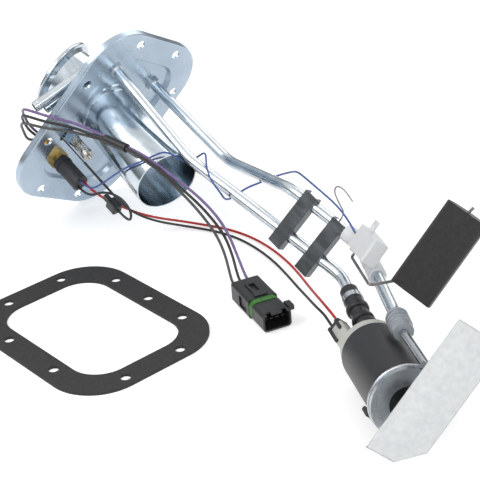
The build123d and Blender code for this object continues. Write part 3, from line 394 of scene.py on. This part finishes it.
def spread(tree, value, low, high, reach=noiseReach):
    # turns a mask into a value that runs between low and high
    ramp = tree.nodes.new("ShaderNodeMapRange")
    ramp.inputs["From Min"].default_value, ramp.inputs["From Max"].default_value = reach
    ramp.inputs["To Min"].default_value = low
    ramp.inputs["To Max"].default_value = high
    tree.links.new(value, ramp.inputs["Value"])
    return ramp.outputs["Result"]


def makeFinish(name, facts):
    material = bpy.data.materials.new(name)
    material.use_nodes = True
    tree = material.node_tree
    shader = tree.nodes["Principled BSDF"]
    effect = tree.nodes.new("ShaderNodeGroup")
    effect.node_tree = effects[facts["effect"]]
    for label, value in facts["values"].items():
        effect.inputs[label].default_value = value
    mix = tree.nodes.new("ShaderNodeMix")
    mix.data_type = "RGBA"
    mix.inputs["A"].default_value = (*facts["low"], 1.0)
    mix.inputs["B"].default_value = (*facts["high"], 1.0)
    tree.links.new(spread(tree, effect.outputs["Tone"], 0.0, 1.0), mix.inputs["Factor"])
    tree.links.new(mix.outputs["Result"], shader.inputs["Base Color"])
    tree.links.new(spread(tree, effect.outputs["Tone"], *facts["rough"]), shader.inputs["Roughness"])
    tree.links.new(effect.outputs["Normal"], shader.inputs["Normal"])
    shader.inputs["Metallic"].default_value = facts["metal"]
    return material


def dress(piece, material):
    piece.data.materials.clear()
    piece.data.materials.append(material)


for name, facts in finishes.items():
    material = makeFinish(name, facts)
    for node in facts.get("nodes", []):
        dress(nodes[node], material)
    for wire in facts.get("wires", []):
        dress(wires[wire], material)
print("finishes given to", sum(len(f.get("nodes", [])) for f in finishes.values()), "nodes")


# Sender housing: thin milky plastic that shows its card and hub

milky = {"through": 0.15, "ior": 1.3}


def makeMilky():
    material = makeFinish("milkyPlastic", {
        "low": (0.94, 0.96, 0.98), "high": (0.97, 0.98, 0.99), "metal": 0.0, "rough": (0.3, 0.4),
        "effect": "speckle", "values": {"Scale": 120.0, "Height": 0.05, "Depth": 0.0001}})
    shader = material.node_tree.nodes["Principled BSDF"]
    shader.inputs["Transmission Weight"].default_value = milky["through"]
    shader.inputs["IOR"].default_value = milky["ior"]
    return material


dress(nodes["sender_housing"], makeMilky())


# Strainer: flat pouch of pressed felt with sealed edges, one corner cut

pumpAxes = {
    "top": (0.156044, 0.018349, 0.023665),
    "along": (0.86435, -0.48574, 0.13026),
    "strip": (0.22996, 0.61210, 0.75661),
}
strainer = {
    "fromPump": 0.107, "short": 0.033, "long": 0.070, "width": 0.039, "thick": 0.0066,
    "seam": 0.0035, "swell": 0.011, "wave": 0.0009, "step": 0.0013,
    "cornerCut": (0.016, 0.016), "skin": 0.0004, "edgeRound": 0.0006, "weld": 0.00001,
    "creaseA": (310, 190), "creaseB": (-130, 420), "rib": 690, "ribStart": 1.7, "ribShare": 0.6,
}


def strainerHeight(x, y, edge):
    # half thickness of the pouch at a point, from how far the point lies inside its edge
    s = strainer
    rise = min(1.0, max(0.0, (edge - s["seam"]) / s["swell"]))
    rise = rise * rise * (3 - 2 * rise)
    (ax, ay), (bx, by) = s["creaseA"], s["creaseB"]
    ripple = math.sin(x * ax + y * ay) * math.sin(y * by + x * bx)
    ripple += s["ribShare"] * math.sin(x * s["rib"] + s["ribStart"])
    skin = s["skin"] * min(1.0, max(0.0, edge / s["edgeRound"]))
    return (s["thick"] / 2 - s["skin"]) * rise + s["wave"] * ripple * rise + skin


def makeStrainer():
    s = strainer
    length = s["short"] + s["long"]
    bm = bmesh.new()
    bmesh.ops.create_grid(
        bm, x_segments=int(length / s["step"]), y_segments=int(s["width"] / s["step"]), size=0.5)
    bmesh.ops.scale(bm, vec=(length, s["width"], 1.0), verts=bm.verts)
    middle = (s["long"] - s["short"]) / 2
    bmesh.ops.translate(bm, vec=(middle, 0, 0), verts=bm.verts)
    cutX, cutY = s["cornerCut"]
    corner = Vector((-s["short"], -s["width"] / 2, 0))
    across = Vector((-cutY, -cutX, 0)).normalized()
    cutLine = corner + Vector((cutX, 0, 0))
    bmesh.ops.bisect_plane(
        bm, geom=bm.verts[:] + bm.edges[:] + bm.faces[:],
        plane_co=cutLine, plane_no=across, clear_outer=True)
    lower = bmesh.ops.duplicate(bm, geom=bm.verts[:] + bm.edges[:] + bm.faces[:])["geom"]
    lowerVerts = {v for v in lower if isinstance(v, bmesh.types.BMVert)}
    for vert in bm.verts:
        x, y = vert.co.x, vert.co.y
        inside = (cutLine - vert.co).dot(across)
        edge = min(x + s["short"], s["long"] - x, s["width"] / 2 - abs(y), inside)
        height = strainerHeight(x, y, edge)
        vert.co.z = -height if vert in lowerVerts else height
    bmesh.ops.reverse_faces(bm, faces=[f for f in lower if isinstance(f, bmesh.types.BMFace)])
    bmesh.ops.remove_doubles(bm, verts=bm.verts, dist=s["weld"])
    bmesh.ops.recalc_face_normals(bm, faces=bm.faces)
    along, strip = Vector(pumpAxes["along"]), Vector(pumpAxes["strip"])
    strip = (strip - along * strip.dot(along)).normalized()
    turn = Matrix((strip, along.cross(strip), along)).transposed().to_4x4()
    place = Vector(pumpAxes["top"]) + along * s["fromPump"]
    bmesh.ops.transform(bm, matrix=Matrix.Translation(place) @ turn, verts=bm.verts)
    pouch = newPiece("strainerPouch", bm)
    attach(pouch, mainBody)
    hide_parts("strainer_sock")
    return pouch


feltLook = {
    "low": (0.70, 0.72, 0.73), "high": (0.78, 0.795, 0.80), "metal": 0.0, "rough": (0.8, 0.95),
    "effect": "speckle", "values": {"Scale": 260.0, "Detail": 9.0, "Height": 0.6, "Depth": 0.0006}}


feltSheen = 0.15


def makeFelt():
    material = makeFinish("pressedFelt", feltLook)
    shader = material.node_tree.nodes["Principled BSDF"]
    shader.inputs["Sheen Weight"].default_value = feltSheen
    return material


dress(makeStrainer(), makeFelt())
print("strainer made")


# Vent spring: a coil of steel wire at the vent valve, built at rest with a mesh of its own

ventSpring = {
    "foot": (-0.18581, 0.01599, 0.07938), "up": (-0.9069, 0.0, 0.4214), "start": (-0.2244, 0.8464, -0.4830),
    "radius": 0.0028, "wire": 0.0004, "wireSides": 10, "pitch": 0.00218, "turns": 8,
    "stepsEachTurn": 24, "stroke": 0.0025,
}


def makeVentSpring():
    s = ventSpring
    bm = bmesh.new()
    bmesh.ops.create_circle(bm, segments=s["wireSides"], radius=s["wire"])
    bmesh.ops.rotate(bm, verts=bm.verts, matrix=Matrix.Rotation(math.pi / 2, 3, "X"))
    bmesh.ops.translate(bm, verts=bm.verts, vec=(s["radius"], 0, 0))
    bmesh.ops.spin(
        bm, geom=bm.verts[:] + bm.edges[:], axis=(0, 0, 1), dvec=(0, 0, s["pitch"] / s["stepsEachTurn"]),
        angle=2 * math.pi * s["turns"], steps=s["turns"] * s["stepsEachTurn"])
    bmesh.ops.holes_fill(bm, edges=[edge for edge in bm.edges if edge.is_boundary])
    bmesh.ops.recalc_face_normals(bm, faces=bm.faces)
    up, start = Vector(s["up"]).normalized(), Vector(s["start"]).normalized()
    turn = Matrix((start, up.cross(start), up)).transposed().to_4x4()
    bmesh.ops.transform(bm, matrix=Matrix.Translation(s["foot"]) @ turn, verts=bm.verts)
    spring = newPiece("ventSpring", bm)
    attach(spring, mainBody)
    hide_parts("vent_spring")
    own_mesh(spring)
    return spring


dress(makeVentSpring(), bpy.data.materials["valveSteel"])
print("vent spring made")


# Floor, light and background

studio = {
    "floorSize": 6.0, "floorColour": (0.92, 0.92, 0.92, 1.0), "floorRough": 0.9, "floorGlow": 0.45,
    "white": (1.0, 1.0, 1.0, 1.0), "lampsAimAt": (0, 0, 0.05),
    "ambient": 0.42, "horizon": 0.14, "horizonTint": (0.86, 0.93, 1.0, 1.0),
    "fromHeight": -0.1, "toHeight": 0.75,
    "key": {"place": (-0.6, -1.1, 1.5), "size": 1.2, "power": 15.0},
    "side": {"place": (1.5, 0.7, 1.0), "size": 0.9, "power": 5.0},
    "back": {"place": (-0.5, 1.6, 1.3), "size": 1.4, "power": 8.0},
    "front": {"place": (1.5, -0.9, 0.7), "size": 1.3, "power": 12.0},
}


def seenDirectly(tree):
    # gives two masks: seen by the camera straight, in metal or through plastic, and seen straight only
    rays = tree.nodes.new("ShaderNodeLightPath")
    seen = rays.outputs["Is Camera Ray"]
    for kind in ("Is Glossy Ray", "Is Transmission Ray"):
        join = tree.nodes.new("ShaderNodeMath")
        join.operation = "MAXIMUM"
        tree.links.new(seen, join.inputs[0])
        tree.links.new(rays.outputs[kind], join.inputs[1])
        seen = join.outputs[0]
    return seen, rays.outputs["Is Camera Ray"]


def makeFloor():
    bm = bmesh.new()
    bmesh.ops.create_grid(bm, x_segments=1, y_segments=1, size=studio["floorSize"] / 2)
    floor = newPiece("floor", bm, smooth=False)
    material = bpy.data.materials.new("paleFloor")
    material.use_nodes = True
    tree = material.node_tree
    shader = tree.nodes["Principled BSDF"]
    shader.inputs["Base Color"].default_value = studio["floorColour"]
    shader.inputs["Roughness"].default_value = studio["floorRough"]
    shader.inputs["Specular IOR Level"].default_value = 0.0
    shader.inputs["Emission Color"].default_value = studio["white"]
    seen, _ = seenDirectly(tree)
    glow = spread(tree, seen, 0.0, studio["floorGlow"], wholeReach)
    tree.links.new(glow, shader.inputs["Emission Strength"])
    floor.data.materials.append(material)


def makeLamp(name, facts):
    data = bpy.data.lights.new(name, "AREA")
    data.size = facts["size"]
    data.energy = facts["power"]
    lamp = bpy.data.objects.new(name, data)
    bpy.context.scene.collection.objects.link(lamp)
    place = Vector(facts["place"])
    lamp.location = place
    lamp.rotation_euler = (Vector(studio["lampsAimAt"]) - place).to_track_quat("-Z", "Y").to_euler()


def makeSurround():
    # a pale dome, darker towards the horizon so that polished metal has something to show
    world = bpy.data.worlds.new("surround")
    bpy.context.scene.world = world
    world.use_nodes = True
    tree = world.node_tree
    shader = tree.nodes["Background"]
    where = tree.nodes.new("ShaderNodeTexCoord")
    parts = tree.nodes.new("ShaderNodeSeparateXYZ")
    tree.links.new(where.outputs["Generated"], parts.inputs["Vector"])
    height = tree.nodes.new("ShaderNodeMapRange")
    height.interpolation_type = "SMOOTHSTEP"
    height.inputs["From Min"].default_value = studio["fromHeight"]
    height.inputs["From Max"].default_value = studio["toHeight"]
    height.inputs["To Min"].default_value = studio["horizon"]
    tree.links.new(parts.outputs["Z"], height.inputs["Value"])
    seen, camera = seenDirectly(tree)
    dome = tree.nodes.new("ShaderNodeMath")
    dome.operation = "MAXIMUM"
    tree.links.new(height.outputs["Result"], dome.inputs[0])
    tree.links.new(camera, dome.inputs[1])
    strength = tree.nodes.new("ShaderNodeMath")
    strength.operation = "MULTIPLY"
    tree.links.new(spread(tree, seen, studio["ambient"], 1.0, wholeReach), strength.inputs[0])
    tree.links.new(dome.outputs["Value"], strength.inputs[1])
    tint = tree.nodes.new("ShaderNodeMix")
    tint.data_type = "RGBA"
    tint.inputs["A"].default_value = studio["horizonTint"]
    tint.inputs["B"].default_value = studio["white"]
    tree.links.new(dome.outputs["Value"], tint.inputs["Factor"])
    tree.links.new(tint.outputs["Result"], shader.inputs["Color"])
    tree.links.new(strength.outputs["Value"], shader.inputs["Strength"])


makeFloor()
for lamp in ("key", "side", "back", "front"):
    makeLamp(lamp, studio[lamp])
makeSurround()
bpy.context.scene.view_settings.view_transform = "Standard"
print("studio made")

bpy.context.view_layer.update()
